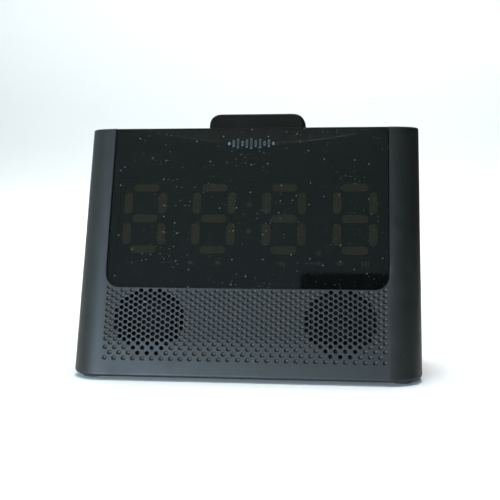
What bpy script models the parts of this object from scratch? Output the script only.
"""Bedside alarm clock radio: a leaning wedge-shaped case with a full-width smoked display window
above a perforated grille, twin speakers, a large snooze bar and a row of buttons on top.

Metres, +Z up. The front faces -Y, +X is to the right seen from the front, and the origin is the
middle of the footprint at the underside of the feet. Three local frames are used:
  plan    (x, y) at a height z, for the walls, the top panel and the base
  front   (across, up, out): along and up the leaning front face from its bottom edge, and out of it
  lathe   (radius, height) about an axis, for every turned piece
"""

import math

import bmesh
import bpy
from mathutils import Vector

MM = 0.001
GAP = 0.3 * MM

# Case
HALF_WIDTH_BOTTOM = 104.9 * MM
HALF_WIDTH_TOP = 104.4 * MM
DEPTH = 110.0 * MM
LEAN = math.radians(17.2)
SLANT_LENGTH = 156.07 * MM
REAR_LEAN = 2.0 * MM
FOOT_HEIGHT = 2.0 * MM
WALL = 2.5 * MM
FRONT_CORNER = 19.6 * MM
REAR_CORNER = 16.0 * MM
CORNER_STEPS = 9
BOTTOM_ROUNDING = 2.0 * MM
TOP_ROUNDING = 0.8 * MM
SEAM_SETBACK = 26.0 * MM
CASE_BOTTOM = FOOT_HEIGHT
CASE_TOP = CASE_BOTTOM + SLANT_LENGTH * math.cos(LEAN)
FRONT_Y = -DEPTH / 2
REAR_Y = DEPTH / 2 - BOTTOM_ROUNDING * math.tan(LEAN)
PANEL_THICKNESS = 2.2 * MM
PANEL_UNDERSIDE = CASE_TOP - PANEL_THICKNESS
BASE_THICKNESS = 3.0 * MM
BASE_TOP = CASE_BOTTOM + BASE_THICKNESS
INNER_INSET = WALL + GAP

# Display window and digits, in the front frame
WINDOW_HALF = 85.2 * MM
WINDOW_BOTTOM = 53.9 * MM
WINDOW_CORNER = 8.5 * MM
MASK_OUT = -2.8 * MM
MASK_THICKNESS = 1.0 * MM
DIGITS_OUT = -4.1 * MM
DIGITS_THICKNESS = 6.0 * MM
BOARD_THICKNESS = 1.6 * MM
DIGIT_BOTTOM = 76.2 * MM
DIGIT_HEIGHT = 44.7 * MM
DIGIT_WIDTH = 26.2 * MM
DIGIT_CENTRES = (-64.6 * MM, -21.6 * MM, 21.6 * MM, 64.7 * MM)
SEGMENT_WIDTH = 4.6 * MM
SEGMENT_DEPTH = 0.6 * MM
DOT_RADIUS = 1.8 * MM
MASK_HALF = 84.0 * MM
MASK_BOTTOM = 62.0 * MM
MASK_TOP = 150.0 * MM
OPENING_HALF = 80.5 * MM
OPENING_BOTTOM = 72.5 * MM
OPENING_TOP = 124.5 * MM
BLOCK_HALF = 82.0 * MM
BLOCK_BOTTOM = 70.0 * MM
BLOCK_TOP = 127.0 * MM
DISPLAY_BOARD_HALF = 83.0 * MM
DISPLAY_BOARD_MARGIN = 4.0 * MM
DOTS = ((0.2 * MM, 107.4 * MM), (0.2 * MM, 89.3 * MM), (43.5 * MM, 77.2 * MM))

# Grille, in the front frame
GRILLE_HALF = 84.2 * MM
GRILLE_BOTTOM = 8.8 * MM
HALF_PITCH = 2.849 * MM
ROW_PITCH = 1.742 * MM
TOP_ROW = 52.27 * MM
MIDDLE_INDEX = 29
EVEN_ROWS = 18
SPREAD_ROWS = (18.32, 19.85, 21.68)
HOLE_RADIUS = 1.15 * MM
SPEAKER_INDEX = 9
SPEAKER_ROW = 10
HOLE_FIELD_RADIUS = 20.7 * MM

# Speakers
SPEAKER_ACROSS = 57.0 * MM
SPEAKER_UP = 34.8 * MM
SPEAKER_RADIUS = 24.0 * MM
SPEAKER_OUT = -2.8 * MM

# Top: snooze bar and buttons
SNOOZE_Y = 37.5 * MM
SNOOZE_HALF_WIDTH = 32.0 * MM
SNOOZE_HALF_DEPTH = 8.0 * MM
SNOOZE_TOP = CASE_TOP + 12.0 * MM
SNOOZE_END_ROUNDING = 7.5 * MM
SNOOZE_EDGE_ROUNDING = 2.5 * MM
SNOOZE_SPRING_X = 20.0 * MM
SNOOZE_FLANGE_REACH = 1.6 * MM
SNOOZE_POCKET_TOP = 8.6 * MM
BUTTON_NAMES = ("alarm_one", "alarm_two", "mode", "volume_down", "volume_up", "dimmer")
BUTTON_SPACING = 28.0 * MM
BUTTON_Y = 16.0 * MM
BUTTON_HALF_WIDTH = 8.0 * MM
BUTTON_HALF_DEPTH = 4.0 * MM
BUTTON_PROUD = 1.0 * MM
FLANGE = 1.2 * MM
KEY_BOARD_TOP = 141.6 * MM
KEY_BOARD_HALF = 90.0 * MM
KEY_BOARD_FRONT = 8.0 * MM
KEY_BOARD_REAR = 48.0 * MM
KEY_BOARD_POSTS = [(x, y) for y in (11.5 * MM, 44.5 * MM) for x in (-86.0 * MM, 86.0 * MM)]

# Inside the base
BOARD_Z = 22.0 * MM
BOARD_TOP = BOARD_Z + BOARD_THICKNESS
BOARD_LOW = (-48.0 * MM, 10.0 * MM, BOARD_Z)
BOARD_HIGH = (66.0 * MM, 50.0 * MM, BOARD_TOP)
POSTS = [(x, y) for x in (-42.0 * MM, 60.0 * MM) for y in (16.0 * MM, 46.0 * MM)]
TRAY_LOW = (-30.0 * MM, -22.0 * MM)
TRAY_HIGH = (30.0 * MM, 8.0 * MM)
TRAY_TOP = 19.5 * MM
CELL_RADIUS = 5.2 * MM
CELL_LENGTH = 44.0 * MM
TRAY_WALL = 1.5 * MM
DOOR_MARGIN = 3.0 * MM
DOOR_THICKNESS = 1.8 * MM
FEET = {
    "front_left": (-92.5 * MM, -41.0 * MM),
    "front_right": (92.5 * MM, -41.0 * MM),
    "rear_left": (-92.5 * MM, 43.0 * MM),
    "rear_right": (92.5 * MM, 43.0 * MM),
}
FOOT_RADIUS = 6.0 * MM
BOSS_RADIUS = 4.0 * MM
BOSS_TOP = 12.0 * MM
PILOT_RADIUS = 1.5 * MM
COUNTERBORE_RADIUS = 3.2 * MM
COUNTERBORE_TOP = 3.9 * MM

# Rear: sockets on the main board, openings for them, and vents
SOCKET_BOTTOM = BOARD_TOP + GAP
SOCKET_FRONT = 41.0 * MM
SOCKET_REAR = 54.2 * MM
SOCKET_BORE_FLOOR = SOCKET_FRONT + 2.0 * MM
SOCKET_SPANS = {
    "dc_jack": (-30.0 * MM, -21.0 * MM, 11.0 * MM),
    "aux_jack": (-10.0 * MM, -3.0 * MM, 6.5 * MM),
    "usb_port": (9.0 * MM, 23.5 * MM, 7.0 * MM),
}
REAR_CUT_FRONT = 48.0 * MM
REAR_CUT_REAR = 60.0 * MM
VENT_COUNT = 7
VENT_SPACING = 6.0 * MM
VENT_WIDTH = 2.0 * MM
VENT_BOTTOM = 92.0 * MM
VENT_LENGTH = 24.0 * MM


# ---------------------------------------------------------------- materials

PALETTE = {
    "case_plastic": ((0.045, 0.060, 0.066), 0.55, 0.0),
    "top_plastic": ((0.020, 0.026, 0.026), 0.50, 0.0),
    "smoked_window": ((0.010, 0.014, 0.015), 0.08, 0.0),
    "mask_black": ((0.008, 0.008, 0.008), 0.80, 0.0),
    "digit_block": ((0.030, 0.028, 0.022), 0.45, 0.0),
    "circuit_board": ((0.010, 0.095, 0.035), 0.40, 0.0),
    "button_rubber": ((0.018, 0.018, 0.018), 0.75, 0.0),
    "foot_rubber": ((0.020, 0.022, 0.025), 0.85, 0.0),
    "steel": ((0.55, 0.55, 0.54), 0.30, 1.0),
    "basket_steel": ((0.06, 0.06, 0.06), 0.45, 0.9),
    "cone_paper": ((0.015, 0.015, 0.015), 0.85, 0.0),
    "magnet": ((0.10, 0.10, 0.11), 0.50, 0.6),
    "gasket_foam": ((0.02, 0.02, 0.02), 0.95, 0.0),
    "connector_black": ((0.015, 0.015, 0.015), 0.45, 0.0),
    "cell_sleeve": ((0.12, 0.16, 0.20), 0.35, 0.1),
    "capacitor_sleeve": ((0.02, 0.03, 0.10), 0.35, 0.0),
    "ribbon": ((0.45, 0.45, 0.42), 0.55, 0.0),
    "spring_steel": ((0.62, 0.60, 0.56), 0.25, 1.0),
}


def material(name):
    """Returns the named Principled material, made on first use."""
    if name in bpy.data.materials:
        return bpy.data.materials[name]
    colour, roughness, metallic = PALETTE[name]
    made = bpy.data.materials.new(name)
    made.use_nodes = True
    shader = made.node_tree.nodes["Principled BSDF"]
    shader.inputs["Base Color"].default_value = (*colour, 1.0)
    shader.inputs["Roughness"].default_value = roughness
    shader.inputs["Metallic"].default_value = metallic
    return made


# ---------------------------------------------------------------- modelling helpers

def mesh_object(name, points, faces, slot, origin=(0, 0, 0)):
    """Makes one object from world points, with its origin where its joint is."""
    centre = Vector(origin)
    mesh = bpy.data.meshes.new(name)
    mesh.from_pydata([Vector(point) - centre for point in points], [], faces)
    shape = bmesh.new()
    shape.from_mesh(mesh)
    bmesh.ops.recalc_face_normals(shape, faces=shape.faces)
    shape.to_mesh(mesh)
    shape.free()
    mesh.materials.append(material(slot))
    made = bpy.data.objects.new(name, mesh)
    made.location = centre
    bpy.context.scene.collection.objects.link(made)
    return made


def loft(name, rings, slot, origin=(0, 0, 0), closed=False):
    """Skins rings of equal length. The ends are capped, or joined to each other when closed."""
    count = len(rings[0])
    points = [point for ring in rings for point in ring]
    faces = []
    last = len(rings) if closed else len(rings) - 1
    for row in range(last):
        low = row * count
        high = (row + 1) % len(rings) * count
        for side in range(count):
            after = (side + 1) % count
            faces.append((low + side, low + after, high + after, high + side))
    if not closed:
        faces.append(tuple(range(count)))
        faces.append(tuple(range(len(points) - count, len(points))))
    return mesh_object(name, points, faces, slot, origin)


def prism(name, outline, z_low, z_high, slot, origin=(0, 0, 0)):
    """Extrudes an (x, y) outline between two heights."""
    rings = [[(x, y, z) for x, y in outline] for z in (z_low, z_high)]
    return loft(name, rings, slot, origin)


def box(name, low, high, slot, origin=(0, 0, 0)):
    outline = [(low[0], low[1]), (high[0], low[1]), (high[0], high[1]), (low[0], high[1])]
    return prism(name, outline, low[2], high[2], slot, origin)


def axis_frame(direction):
    """Two unit vectors square to the direction, and the direction itself."""
    along = Vector(direction).normalized()
    helper = Vector((1, 0, 0)) if abs(along.x) < 0.9 else Vector((0, 1, 0))
    side = along.cross(helper).normalized()
    return side, along.cross(side), along


def lathe(name, profile, base, direction, steps, slot, origin=(0, 0, 0)):
    """Turns a closed (radius, height) profile, all of it off the axis, into a ring."""
    side, other, along = axis_frame(direction)
    rings = []
    for step in range(steps):
        angle = math.tau * step / steps
        spoke = math.cos(angle) * side + math.sin(angle) * other
        rings.append([Vector(base) + radius * spoke + height * along for radius, height in profile])
    made = loft(name, rings, slot, origin, closed=True)
    return smooth(made)


def turned(name, profile, base, direction, steps, slot, origin=(0, 0, 0)):
    """Turns an open (radius, height) profile into a solid with flat ends on the axis."""
    side, other, along = axis_frame(direction)
    rings = []
    for radius, height in profile:
        ring = []
        for step in range(steps):
            angle = math.tau * step / steps
            spoke = math.cos(angle) * side + math.sin(angle) * other
            ring.append(Vector(base) + radius * spoke + height * along)
        rings.append(ring)
    return smooth(loft(name, rings, slot, origin))


def rod(name, radius, length, base, direction, steps, slot):
    return turned(name, [(radius, 0), (radius, length)], base, direction, steps, slot)


def upright(name, radius, z_low, z_high, x, y, steps, slot):
    """A rod that stands between two heights."""
    return rod(name, radius, z_high - z_low, (x, y, z_low), (0, 0, 1), steps, slot)


def smooth(made, angle=35):
    made.data.shade_smooth()
    made.data.set_sharp_from_angle(angle=math.radians(angle))
    return made


def combine(target, tool, operation):
    """Adds or takes away a hidden tool with an exact Boolean."""
    tool.hide_render = True
    tool.display_type = "WIRE"
    step = target.modifiers.new(tool.name, "BOOLEAN")
    step.operation = operation
    step.solver = "EXACT"
    step.object = tool


def cut(target, tool):
    combine(target, tool, "DIFFERENCE")


def add(target, tool):
    combine(target, tool, "UNION")


# ---------------------------------------------------------------- frames and outlines

def front_point(across, up, out):
    """World point from the front frame."""
    y = FRONT_Y + up * math.sin(LEAN) - out * math.cos(LEAN)
    z = CASE_BOTTOM + up * math.cos(LEAN) + out * math.sin(LEAN)
    return Vector((across, y, z))


FRONT_NORMAL = Vector((0, -math.cos(LEAN), math.sin(LEAN)))


def front_prism(name, outline, out_low, out_high, slot):
    """Extrudes an (across, up) outline square to the front face."""
    rings = [[front_point(u, v, out) for u, v in outline] for out in (out_low, out_high)]
    return loft(name, rings, slot)


def rectangle(left, bottom, right, top):
    return [(left, bottom), (right, bottom), (right, top), (left, top)]


def arc(centre, radius, start, end, steps):
    """Points of an arc, ends included, angles in degrees."""
    points = []
    for step in range(steps + 1):
        angle = math.radians(start + (end - start) * step / steps)
        points.append((centre[0] + radius * math.cos(angle), centre[1] + radius * math.sin(angle)))
    return points


def rounded_rectangle(half_x, half_y, radius, steps, centre=(0, 0)):
    points = []
    for corner, (sx, sy) in enumerate(((1, 1), (-1, 1), (-1, -1), (1, -1))):
        middle = (centre[0] + sx * (half_x - radius), centre[1] + sy * (half_y - radius))
        points += arc(middle, radius, corner * 90, corner * 90 + 90, steps)
    return points


def case_rise(z):
    return (z - CASE_BOTTOM) / (CASE_TOP - CASE_BOTTOM)


def case_half_width(z):
    return HALF_WIDTH_BOTTOM + (HALF_WIDTH_TOP - HALF_WIDTH_BOTTOM) * case_rise(z)


def case_front_y(z):
    return FRONT_Y + (z - CASE_BOTTOM) * math.tan(LEAN)


def case_rear_y(z):
    return REAR_Y - REAR_LEAN * case_rise(z)


def front_path(z, inset):
    """The front half of the plan outline, from the right seam round the front to the left seam."""
    half = case_half_width(z) - inset
    front = case_front_y(z) + inset / math.cos(LEAN)
    seam = case_front_y(z) + SEAM_SETBACK
    radius = FRONT_CORNER - inset
    right = arc((half - radius, front + radius), radius, 0, -90, CORNER_STEPS)
    left = arc((radius - half, front + radius), radius, -90, -180, CORNER_STEPS)
    return [(half, seam)] + right + left + [(-half, seam)]


def rear_path(z, inset, seam_gap):
    """The rear half of the plan outline, from the left seam round the back to the right seam."""
    half = case_half_width(z) - inset
    rear = case_rear_y(z) - inset
    seam = case_front_y(z) + SEAM_SETBACK + seam_gap
    radius = REAR_CORNER - inset
    left = arc((radius - half, rear - radius), radius, 180, 90, CORNER_STEPS)
    right = arc((half - radius, rear - radius), radius, 90, 0, CORNER_STEPS)
    return [(-half, seam)] + left + right + [(half, seam)]


def shell_levels():
    """(height, outer inset) up a wall, with the rounded bottom and top edges."""
    levels = []
    for angle in (0, 30, 60, 90):
        turn = math.radians(angle)
        height = CASE_BOTTOM + BOTTOM_ROUNDING * (1 - math.sin(turn))
        levels.append((height, BOTTOM_ROUNDING * (1 - math.cos(turn))))
    levels.reverse()
    for angle in (0, 45, 90):
        turn = math.radians(angle)
        height = CASE_TOP - TOP_ROUNDING * (1 - math.sin(turn))
        levels.append((height, TOP_ROUNDING * (1 - math.cos(turn))))
    return levels


def plate(name, z_low, z_high, slot):
    """A level plate that fits inside the walls and follows their lean."""
    rings = []
    for z in (z_low, z_high):
        outline = front_path(z, INNER_INSET) + rear_path(z, INNER_INSET, GAP)
        rings.append([(x, y, z) for x, y in outline])
    return loft(name, rings, slot)


# ---------------------------------------------------------------- case

def screw_boss(shell, corner, rib_end):
    """A screw boss in a case corner, joined to the side wall by a rib."""
    x, y = FEET[corner]
    side = math.copysign(1, x)
    bottom = BASE_TOP + GAP
    near, far = sorted((x, side * rib_end))
    rib_low = (near, y - 1.0 * MM, bottom + 0.2 * MM)
    rib_high = (far, y + 1.0 * MM, BOSS_TOP - 0.2 * MM)
    post = upright("tool_boss_" + corner, BOSS_RADIUS, bottom, BOSS_TOP, x, y, 14, "case_plastic")
    rib = box("tool_rib_" + corner, rib_low, rib_high, "case_plastic")
    low, high = bottom - MM, bottom + 6 * MM
    hole = upright("tool_pilot_" + corner, PILOT_RADIUS, low, high, x, y, 12, "case_plastic")
    add(shell, post)
    add(shell, rib)
    cut(shell, hole)


def build_front_housing():
    rings = []
    for z, inset in shell_levels():
        outer = front_path(z, inset)
        inner = front_path(z, WALL)
        rings.append([(x, y, z) for x, y in outer + inner[::-1]])
    housing = loft("front_housing", rings, "case_plastic")
    left = arc((WINDOW_CORNER - WINDOW_HALF, WINDOW_BOTTOM + WINDOW_CORNER), WINDOW_CORNER, 180, 270, 6)
    right = arc((WINDOW_HALF - WINDOW_CORNER, WINDOW_BOTTOM + WINDOW_CORNER), WINDOW_CORNER, 270, 360, 6)
    above = SLANT_LENGTH + 20.0 * MM
    window = left + right + [(WINDOW_HALF, above), (-WINDOW_HALF, above)]
    cut(housing, front_prism("tool_window", window, -8.0 * MM, 3.0 * MM, "case_plastic"))
    grille = rectangle(-GRILLE_HALF, GRILLE_BOTTOM, GRILLE_HALF, WINDOW_BOTTOM + 0.1 * MM)
    cut(housing, front_prism("tool_grille", grille, -8.0 * MM, 3.0 * MM, "case_plastic"))
    for corner in ("front_left", "front_right"):
        screw_boss(housing, corner, 101.5 * MM)
    return smooth(housing)


def build_rear_cover():
    rings = []
    for z, inset in shell_levels():
        outer = rear_path(z, inset, GAP)
        inner = rear_path(z, WALL, GAP)
        rings.append([(x, y, z) for x, y in outer + inner[::-1]])
    cover = loft("rear_cover", rings, "case_plastic")
    for name in SOCKET_SPANS:
        low, high = socket_corners(name)
        start = (low[0] - GAP, REAR_CUT_FRONT, low[2] - GAP)
        end = (high[0] + GAP, REAR_CUT_REAR, high[2] + GAP)
        cut(cover, box("tool_" + name, start, end, "case_plastic"))
    for index in range(VENT_COUNT):
        x = (index - (VENT_COUNT - 1) / 2) * VENT_SPACING
        low = (x - VENT_WIDTH / 2, REAR_CUT_FRONT, VENT_BOTTOM)
        high = (x + VENT_WIDTH / 2, REAR_CUT_REAR, VENT_BOTTOM + VENT_LENGTH)
        cut(cover, box("tool_vent_%d" % index, low, high, "case_plastic"))
    for corner in ("rear_left", "rear_right"):
        screw_boss(cover, corner, 103.0 * MM)
    return smooth(cover)


def build_base_plate():
    base = plate("base_plate", CASE_BOTTOM, BASE_TOP, "case_plastic")
    for corner, (x, y) in FEET.items():
        for name, radius, top, steps in (("counterbore_", COUNTERBORE_RADIUS, COUNTERBORE_TOP, 12),
                                         ("base_hole_", PILOT_RADIUS, BASE_TOP + 2 * MM, 8)):
            cut(base, upright("tool_" + name + corner, radius, MM, top, x, y, steps, "case_plastic"))
    low = (TRAY_LOW[0] + DOOR_MARGIN, TRAY_LOW[1] + DOOR_MARGIN, MM)
    high = (TRAY_HIGH[0] - DOOR_MARGIN, TRAY_HIGH[1] - DOOR_MARGIN, BASE_TOP + MM)
    cut(base, box("tool_battery_opening", low, high, "case_plastic"))
    for index, (x, y) in enumerate(POSTS):
        foot, top = BASE_TOP - 0.5 * MM, BOARD_Z - GAP
        add(base, upright("tool_post_%d" % index, 3.0 * MM, foot, top, x, y, 10, "case_plastic"))
        low, high = BOARD_Z - 8 * MM, BOARD_Z + MM
        cut(base, upright("tool_post_hole_%d" % index, 1.2 * MM, low, high, x, y, 8, "case_plastic"))
    return base


def build_top_panel():
    panel = plate("top_panel", PANEL_UNDERSIDE, CASE_TOP, "top_plastic")
    slot = rounded_rectangle(SNOOZE_HALF_WIDTH + GAP, SNOOZE_HALF_DEPTH + GAP, 3.0 * MM, 3, (0, SNOOZE_Y))
    cut(panel, prism("tool_snooze_slot", slot, PANEL_UNDERSIDE - MM, CASE_TOP + MM, "top_plastic"))
    for index, name in enumerate(BUTTON_NAMES):
        hole = rounded_rectangle(BUTTON_HALF_WIDTH + GAP, BUTTON_HALF_DEPTH + GAP, 2.3 * MM, 2,
                                 (button_x(index), BUTTON_Y))
        cut(panel, prism("tool_hole_" + name, hole, PANEL_UNDERSIDE - MM, CASE_TOP + MM, "top_plastic"))
    for index, (x, y) in enumerate(KEY_BOARD_POSTS):
        low = KEY_BOARD_TOP + GAP
        top = PANEL_UNDERSIDE + 0.5 * MM
        add(panel, upright("tool_hanger_%d" % index, 2.4 * MM, low, top, x, y, 8, "top_plastic"))
        low, high = low - MM, low + 4 * MM
        cut(panel, upright("tool_hanger_hole_%d" % index, 1.1 * MM, low, high, x, y, 8, "top_plastic"))
    return panel


def build_feet_and_screws():
    for corner, (x, y) in FEET.items():
        profile = [(FOOT_RADIUS - 0.6 * MM, 0), (FOOT_RADIUS, 0.6 * MM), (FOOT_RADIUS, FOOT_HEIGHT - GAP)]
        turned("foot_" + corner, profile, (x, y, 0), (0, 0, 1), 20, "foot_rubber")
        start = (x, y, FOOT_HEIGHT + GAP)
        screw("case_screw_" + corner, start, (0, 0, 1), 2.8 * MM, 1.3 * MM, 1.2 * MM, 6.5 * MM)


def screw(name, base, direction, head_radius, head_height, shaft_radius, shaft_length):
    """A pan-head screw, from the top of its head along its shaft."""
    profile = [
        (head_radius * 0.7, 0),
        (head_radius, head_height * 0.45),
        (head_radius, head_height),
        (shaft_radius, head_height),
        (shaft_radius, head_height + shaft_length - shaft_radius),
        (shaft_radius * 0.4, head_height + shaft_length),
    ]
    turned(name, profile, base, direction, 8, "steel")


# ---------------------------------------------------------------- display

def build_lens():
    half = WINDOW_HALF - 0.2 * MM
    bottom = WINDOW_BOTTOM + 0.2 * MM
    radius = WINDOW_CORNER - 0.2 * MM
    left = arc((radius - half, bottom + radius), radius, 180, 270, 8)
    right = arc((half - radius, bottom + radius), radius, 270, 360, 8)
    outline = left + right + [(half, SLANT_LENGTH), (-half, SLANT_LENGTH)]
    front_prism("display_lens", outline, -WALL, 0, "smoked_window")


def build_mask():
    outline = rectangle(-MASK_HALF, MASK_BOTTOM, MASK_HALF, MASK_TOP)
    mask = front_prism("display_mask", outline, MASK_OUT - MASK_THICKNESS, MASK_OUT, "mask_black")
    opening = rectangle(-OPENING_HALF, OPENING_BOTTOM, OPENING_HALF, OPENING_TOP)
    cut(mask, front_prism("tool_mask_opening", opening, MASK_OUT - 2 * MM, MASK_OUT + MM, "mask_black"))


def segment_outline(centre, length, upright):
    """A bar with pointed ends, the shape of one lit segment."""
    half = length / 2
    thick = SEGMENT_WIDTH / 2
    shoulder = half - thick * 0.8
    points = [(half, 0), (shoulder, thick), (-shoulder, thick)]
    points += [(-x, -y) for x, y in points]
    if upright:
        points = [(-y, x) for x, y in points]
    return [(centre[0] + x, centre[1] + y) for x, y in points]


def digit_segments(centre_x):
    """The seven segments of one digit."""
    middle = DIGIT_BOTTOM + DIGIT_HEIGHT / 2
    top = DIGIT_BOTTOM + DIGIT_HEIGHT - SEGMENT_WIDTH / 2
    bottom = DIGIT_BOTTOM + SEGMENT_WIDTH / 2
    side = DIGIT_WIDTH / 2 - SEGMENT_WIDTH / 2
    bar = DIGIT_WIDTH - SEGMENT_WIDTH * 2.1
    upright = DIGIT_HEIGHT / 2 - SEGMENT_WIDTH * 1.6
    segments = [segment_outline((centre_x, height), bar, False) for height in (bottom, middle, top)]
    for x in (centre_x - side, centre_x + side):
        for height in ((bottom + middle) / 2, (middle + top) / 2):
            segments.append(segment_outline((x, height), upright, True))
    return segments


def build_digits():
    outline = rectangle(-BLOCK_HALF, BLOCK_BOTTOM, BLOCK_HALF, BLOCK_TOP)
    block = front_prism("led_digit_block", outline, DIGITS_OUT - DIGITS_THICKNESS, DIGITS_OUT, "digit_block")
    wells = []
    for centre in DIGIT_CENTRES:
        wells += digit_segments(centre)
    wells += [arc(dot, DOT_RADIUS, 0, 315, 7) for dot in DOTS]
    floor = DIGITS_OUT - SEGMENT_DEPTH
    cut(block, prism_group("tool_segments", wells, floor, DIGITS_OUT + MM, "digit_block"))
    board_out = DIGITS_OUT - DIGITS_THICKNESS - GAP
    board = rectangle(-DISPLAY_BOARD_HALF, BLOCK_BOTTOM - DISPLAY_BOARD_MARGIN,
                      DISPLAY_BOARD_HALF, BLOCK_TOP + DISPLAY_BOARD_MARGIN)
    front_prism("display_board", board, board_out - BOARD_THICKNESS, board_out, "circuit_board")


def prism_group(name, outlines, out_low, out_high, slot):
    """Many separate prisms in the front frame as one tool."""
    points = []
    faces = []
    for outline in outlines:
        start = len(points)
        count = len(outline)
        points += [front_point(u, v, out_low) for u, v in outline]
        points += [front_point(u, v, out_high) for u, v in outline]
        faces.append(tuple(range(start, start + count)))
        faces.append(tuple(range(start + count, start + 2 * count)))
        for side in range(count):
            after = (side + 1) % count
            faces.append((start + side, start + after, start + count + after, start + count + side))
    return mesh_object(name, points, faces, slot)


# ---------------------------------------------------------------- grille and speakers

def row_height(row):
    """Height up the front face of a row of grille holes; the last rows are spread apart."""
    if row < EVEN_ROWS:
        return TOP_ROW - row * ROW_PITCH
    return TOP_ROW - SPREAD_ROWS[row - EVEN_ROWS] * ROW_PITCH


def grille_holes():
    """Centres of the through holes in front of the two speakers, staggered row by row."""
    centres = []
    for row in range(2 * SPEAKER_ROW + 1):
        for index in range(1 - row % 2, MIDDLE_INDEX, 2):
            from_centre = math.hypot((index - SPEAKER_INDEX) * HALF_PITCH, (row - SPEAKER_ROW) * ROW_PITCH)
            if from_centre < HOLE_FIELD_RADIUS:
                across = (index - MIDDLE_INDEX) * HALF_PITCH
                centres += [(across, row_height(row)), (-across, row_height(row))]
    return centres


def build_grille():
    half = GRILLE_HALF - 0.2 * MM
    outline = rectangle(-half, GRILLE_BOTTOM + 0.2 * MM, half, WINDOW_BOTTOM - 0.1 * MM)
    grille = front_prism("speaker_grille", outline, -WALL, 0, "case_plastic")
    holes = [arc(centre, HOLE_RADIUS, 0, 300, 5) for centre in grille_holes()]
    cut(grille, prism_group("tool_holes", holes, -WALL - MM, MM, "case_plastic"))


def build_speaker(side, name):
    """One driver: foam gasket, pressed basket, cone with its surround, and magnet."""
    centre = front_point(side * SPEAKER_ACROSS, SPEAKER_UP, SPEAKER_OUT)
    inward = -FRONT_NORMAL
    rim = SPEAKER_RADIUS
    gasket = [(rim, 0), (rim, 1.0 * MM), (rim - 3.5 * MM, 1.0 * MM), (rim - 3.5 * MM, 0)]
    lathe(name + "_speaker_gasket", gasket, centre, inward, 24, "gasket_foam")
    basket = [
        (rim, 1.3 * MM),
        (rim, 2.5 * MM),
        (rim - 4.0 * MM, 3.2 * MM),
        (14.0 * MM, 13.5 * MM),
        (6.5 * MM, 13.5 * MM),
        (6.5 * MM, 12.5 * MM),
        (13.4 * MM, 12.5 * MM),
        (rim - 4.6 * MM, 2.2 * MM),
        (rim - 3.8 * MM, 1.3 * MM),
    ]
    lathe(name + "_speaker_basket", basket, centre, inward, 24, "basket_steel")
    face = [
        (0.8 * MM, 4.2 * MM),
        (4.6 * MM, 5.2 * MM),
        (6.2 * MM, 7.0 * MM),
        (15.8 * MM, 0.8 * MM),
        (17.0 * MM, 0.2 * MM),
        (18.2 * MM, 0.3 * MM),
        (19.0 * MM, 1.0 * MM),
    ]
    back = [(max(radius - 0.3 * MM, 0.8 * MM), height + 0.9 * MM) for radius, height in face[::-1]]
    turned(name + "_speaker_cone", face + back, centre, inward, 20, "cone_paper")
    magnet = [(15.0 * MM, 13.8 * MM), (15.0 * MM, 20.0 * MM), (13.0 * MM, 20.8 * MM)]
    turned(name + "_speaker_magnet", magnet, centre, inward, 20, "magnet")


# ---------------------------------------------------------------- snooze bar and buttons

def button_x(index):
    return (index - (len(BUTTON_NAMES) - 1) / 2) * BUTTON_SPACING


def rounding(radius, below_top):
    """How far an edge of this radius has drawn in at a distance below the top."""
    if below_top >= radius:
        return 0
    return radius - math.sqrt(radius * radius - (radius - below_top) ** 2)


def build_snooze_bar():
    flange_low = PANEL_UNDERSIDE - GAP - FLANGE
    rings = []
    for z in (flange_low, flange_low + FLANGE):
        half = (SNOOZE_HALF_WIDTH + SNOOZE_FLANGE_REACH, SNOOZE_HALF_DEPTH + SNOOZE_FLANGE_REACH)
        outline = rounded_rectangle(*half, 3.0 * MM, 3, (0, SNOOZE_Y))
        rings.append([(x, y, z) for x, y in outline])
    heights = [flange_low + FLANGE, SNOOZE_TOP - SNOOZE_END_ROUNDING]
    for angle in (22.5, 45, 67.5, 90):
        heights.append(SNOOZE_TOP - SNOOZE_END_ROUNDING * (1 - math.sin(math.radians(angle))))
    for z in heights:
        half_x = SNOOZE_HALF_WIDTH - rounding(SNOOZE_END_ROUNDING, SNOOZE_TOP - z)
        half_y = SNOOZE_HALF_DEPTH - rounding(SNOOZE_EDGE_ROUNDING, SNOOZE_TOP - z)
        outline = rounded_rectangle(half_x, half_y, 2.4 * MM, 3, (0, SNOOZE_Y))
        rings.append([(x, y, z) for x, y in outline])
    bar = loft("snooze_bar", rings, "top_plastic", (0, SNOOZE_Y, SNOOZE_TOP))
    for side in (-1, 1):
        x = side * SNOOZE_SPRING_X
        top = flange_low + SNOOZE_POCKET_TOP
        low = flange_low - MM
        cut(bar, upright("tool_pocket_%d" % side, 3.6 * MM, low, top, x, SNOOZE_Y, 12, "top_plastic"))
    return smooth(bar)


def build_spring(name, x):
    """A compression spring standing on the key board, in a pocket of the snooze bar."""
    wire = 0.35 * MM
    radius = 2.5 * MM
    turns = 6
    steps = 9
    low = KEY_BOARD_TOP + GAP + wire
    high = PANEL_UNDERSIDE - GAP - FLANGE + SNOOZE_POCKET_TOP - GAP - wire
    rings = []
    for step in range(turns * steps + 1):
        angle = math.tau * step / steps
        spoke = Vector((math.cos(angle), math.sin(angle), 0))
        middle = Vector((x, SNOOZE_Y, low + (high - low) * step / (turns * steps))) + radius * spoke
        ring = []
        for corner in range(5):
            tilt = math.tau * corner / 5
            ring.append(middle + wire * (math.cos(tilt) * spoke + math.sin(tilt) * Vector((0, 0, 1))))
        rings.append(ring)
    smooth(loft(name, rings, "spring_steel"), 80)


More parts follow.
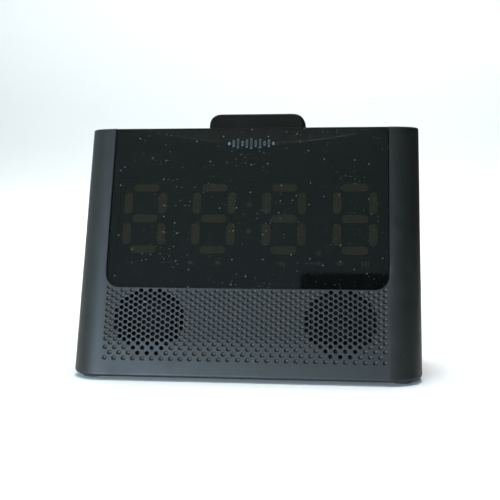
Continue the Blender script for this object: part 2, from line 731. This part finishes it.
def build_button(index, name):
    x = button_x(index)
    flange_high = PANEL_UNDERSIDE - GAP
    flange_low = flange_high - FLANGE
    top = CASE_TOP + BUTTON_PROUD
    sections = [
        (flange_low - 0.4 * MM, -4.0 * MM, -1.5 * MM),
        (flange_low, -4.0 * MM, -1.5 * MM),
        (flange_low, FLANGE, FLANGE),
        (flange_high, FLANGE, FLANGE),
        (flange_high, 0, 0),
        (top - 0.5 * MM, 0, 0),
        (top, -0.5 * MM, -0.5 * MM),
    ]
    rings = []
    for z, grow_x, grow_y in sections:
        half = (BUTTON_HALF_WIDTH + grow_x, BUTTON_HALF_DEPTH + grow_y)
        outline = rounded_rectangle(*half, 2.0 * MM, 2, (x, BUTTON_Y))
        rings.append([(px, py, z) for px, py in outline])
    smooth(loft(name + "_button", rings, "button_rubber", (x, BUTTON_Y, top)))


def build_key_board():
    low = (-KEY_BOARD_HALF, KEY_BOARD_FRONT, KEY_BOARD_TOP - BOARD_THICKNESS)
    high = (KEY_BOARD_HALF, KEY_BOARD_REAR, KEY_BOARD_TOP)
    box("key_board", low, high, "circuit_board")
    sheet = rounded_rectangle(80.0 * MM, 7.0 * MM, 2.0 * MM, 3, (0, BUTTON_Y))
    pad_low = KEY_BOARD_TOP + GAP
    pad_high = pad_low + 0.8 * MM
    pad = prism("keypad_membrane", sheet, pad_low, pad_high, "button_rubber")
    for index, name in enumerate(BUTTON_NAMES):
        dome = [(4.0 * MM, 0), (3.0 * MM, 2.2 * MM), (2.2 * MM, 3.3 * MM)]
        base = (button_x(index), BUTTON_Y, pad_high - 0.3 * MM)
        add(pad, turned("tool_dome_" + name, dome, base, (0, 0, 1), 10, "button_rubber"))
    half = 3.0 * MM
    body_top = pad_low + 2.4 * MM
    low, high = (-half, SNOOZE_Y - half, pad_low), (half, SNOOZE_Y + half, body_top)
    switch = box("snooze_switch", low, high, "connector_black")
    low, high = body_top - 0.4 * MM, body_top + 0.8 * MM
    add(switch, upright("tool_plunger", 1.5 * MM, low, high, 0, SNOOZE_Y, 14, "connector_black"))


# ---------------------------------------------------------------- electronics and battery bay

def socket_corners(name):
    left, right, height = SOCKET_SPANS[name]
    return (left, SOCKET_FRONT, SOCKET_BOTTOM), (right, SOCKET_REAR, SOCKET_BOTTOM + height)


def socket_block(name, hole, pin=None):
    """A board-mounted socket open to the rear; a pin or tongue is left standing in its hole."""
    block = box(name, *socket_corners(name), "connector_black")
    cut(block, hole)
    if pin:
        add(block, pin)


def socket_rod(name, socket, radius, start, length, steps):
    """A rod along the middle of a socket, towards the rear."""
    low, high = socket_corners(socket)
    base = ((low[0] + high[0]) / 2, start, (low[2] + high[2]) / 2)
    return rod(name, radius, length, base, (0, 1, 0), steps, "connector_black")


def build_sockets():
    bore_length = 20.0 * MM
    bore = socket_rod("tool_dc_bore", "dc_jack", 3.0 * MM, SOCKET_BORE_FLOOR, bore_length, 14)
    pin = socket_rod("tool_dc_pin", "dc_jack", 1.0 * MM, SOCKET_BORE_FLOOR - 0.5 * MM, 9.0 * MM, 8)
    socket_block("dc_jack", bore, pin)
    bore = socket_rod("tool_aux_bore", "aux_jack", 1.8 * MM, SOCKET_BORE_FLOOR, bore_length, 12)
    socket_block("aux_jack", bore)
    low, high = socket_corners("usb_port")
    mouth_low = (low[0] + MM, SOCKET_BORE_FLOOR, low[2] + MM)
    mouth_high = (high[0] - MM, REAR_CUT_REAR, high[2] - MM)
    tongue_low = (low[0] + 2 * MM, SOCKET_BORE_FLOOR - 0.5 * MM, low[2] + 3.6 * MM)
    tongue_high = (high[0] - 2 * MM, high[1] - 1.5 * MM, low[2] + 5.2 * MM)
    mouth = box("tool_usb_mouth", mouth_low, mouth_high, "connector_black")
    tongue = box("tool_usb_tongue", tongue_low, tongue_high, "connector_black")
    socket_block("usb_port", mouth, tongue)


def build_main_board():
    board = box("main_board", BOARD_LOW, BOARD_HIGH, "circuit_board")
    for index, (x, y) in enumerate(POSTS):
        hole_low, hole_high = BOARD_Z - MM, BOARD_Z + 3 * MM
        hole = upright("tool_board_hole_%d" % index, 1.5 * MM, hole_low, hole_high, x, y, 8, "circuit_board")
        cut(board, hole)
        head_top = (x, y, BOARD_TOP + GAP + 1.2 * MM)
        screw("board_screw_%d" % (index + 1), head_top, (0, 0, -1), 2.4 * MM, 1.2 * MM, 0.9 * MM, 7.0 * MM)
    part_low = BOARD_TOP + GAP
    shield_high = (54.0 * MM, 32.0 * MM, part_low + 4.0 * MM)
    box("tuner_shield", (34.0 * MM, 18.0 * MM, part_low), shield_high, "steel")
    for index, x in enumerate((38.0 * MM, 50.0 * MM)):
        can = [(4.6 * MM, 0), (5.0 * MM, 0.5 * MM), (5.0 * MM, 11.4 * MM), (4.5 * MM, 12.0 * MM)]
        base = (x, 41.0 * MM, part_low)
        turned("filter_capacitor_%d" % (index + 1), can, base, (0, 0, 1), 16, "capacitor_sleeve")
    build_sockets()


def build_ribbon():
    """The flat cable from the back of the display board down to the main board."""
    start = front_point(0, 84.0 * MM, DIGITS_OUT - DIGITS_THICKNESS - BOARD_THICKNESS - 3 * GAP)
    spine = [(start.y, start.z)]
    end = (19.0 * MM, BOARD_TOP + 2 * GAP)
    bend = [(start.y + 4.0 * MM, start.z - 14.0 * MM), (0, end[1] + 6.0 * MM), (8.0 * MM, end[1])]
    for step in range(1, 13):
        t = step / 12
        y = blend_point(start.y, bend[0][0], bend[1][0], bend[2][0], t)
        z = blend_point(start.z, bend[0][1], bend[1][1], bend[2][1], t)
        spine.append((y, z))
    spine.append(end)
    thickness = 0.6 * MM
    half = 10.0 * MM
    rings = []
    for index, (y, z) in enumerate(spine):
        before = spine[max(index - 1, 0)]
        after = spine[min(index + 1, len(spine) - 1)]
        run = math.hypot(after[0] - before[0], after[1] - before[1])
        normal = (-(after[1] - before[1]) / run, (after[0] - before[0]) / run)
        back = (y + thickness * normal[0], z + thickness * normal[1])
        rings.append([(-half, y, z), (half, y, z), (half, *back), (-half, *back)])
    loft("ribbon_cable", rings, "ribbon")


def blend_point(a, b, c, d, t):
    """A cubic Bezier between a and d."""
    s = 1 - t
    return s ** 3 * a + 3 * s * s * t * b + 3 * s * t * t * c + t ** 3 * d


def build_battery_bay():
    low = (TRAY_LOW[0], TRAY_LOW[1], BASE_TOP + GAP)
    high = (TRAY_HIGH[0], TRAY_HIGH[1], TRAY_TOP)
    tray = box("battery_tray", low, high, "case_plastic")
    hollow_low = (low[0] + TRAY_WALL, low[1] + TRAY_WALL, 0)
    hollow_high = (high[0] - TRAY_WALL, high[1] - TRAY_WALL, TRAY_TOP - TRAY_WALL)
    cut(tray, box("tool_tray_hollow", hollow_low, hollow_high, "case_plastic"))
    middle_y = (TRAY_LOW[1] + TRAY_HIGH[1]) / 2
    cell_z = TRAY_TOP - TRAY_WALL - GAP - CELL_RADIUS
    can_length = CELL_LENGTH - MM
    cell = [
        (CELL_RADIUS - 0.4 * MM, 0),
        (CELL_RADIUS, 0.4 * MM),
        (CELL_RADIUS, can_length),
        (1.9 * MM, can_length),
        (1.9 * MM, CELL_LENGTH),
    ]
    for index, side in enumerate((-1, 1)):
        base = (side * CELL_LENGTH / 2, middle_y + side * (CELL_RADIUS + 0.8 * MM), cell_z)
        turned("backup_cell_%d" % (index + 1), cell, base, (-side, 0, 0), 16, "cell_sleeve")
    contacts = {
        "battery_contact_left": -CELL_LENGTH / 2 - 2.0 * MM,
        "battery_contact_right": CELL_LENGTH / 2 + 1.4 * MM,
    }
    for name, x in contacts.items():
        contact_low = (x, middle_y - 10.0 * MM, cell_z - 4.0 * MM)
        contact_high = (x + 0.6 * MM, middle_y + 10.0 * MM, cell_z + 4.0 * MM)
        box(name, contact_low, contact_high, "spring_steel")
    inset = DOOR_MARGIN + GAP
    door_low = (TRAY_LOW[0] + inset, TRAY_LOW[1] + inset, CASE_BOTTOM)
    door_high = (TRAY_HIGH[0] - inset, TRAY_HIGH[1] - inset, CASE_BOTTOM + DOOR_THICKNESS)
    box("battery_door", door_low, door_high, "case_plastic", (0, middle_y, CASE_BOTTOM))


def main():
    for old in list(bpy.data.objects):
        bpy.data.objects.remove(old, do_unlink=True)
    build_front_housing()
    build_rear_cover()
    build_top_panel()
    build_base_plate()
    build_feet_and_screws()
    build_lens()
    build_mask()
    build_digits()
    build_grille()
    for side, name in ((-1, "left"), (1, "right")):
        build_speaker(side, name)
        build_spring("snooze_spring_" + name, side * SNOOZE_SPRING_X)
    build_snooze_bar()
    for index, name in enumerate(BUTTON_NAMES):
        build_button(index, name)
    build_key_board()
    build_main_board()
    build_ribbon()
    build_battery_bay()


main()
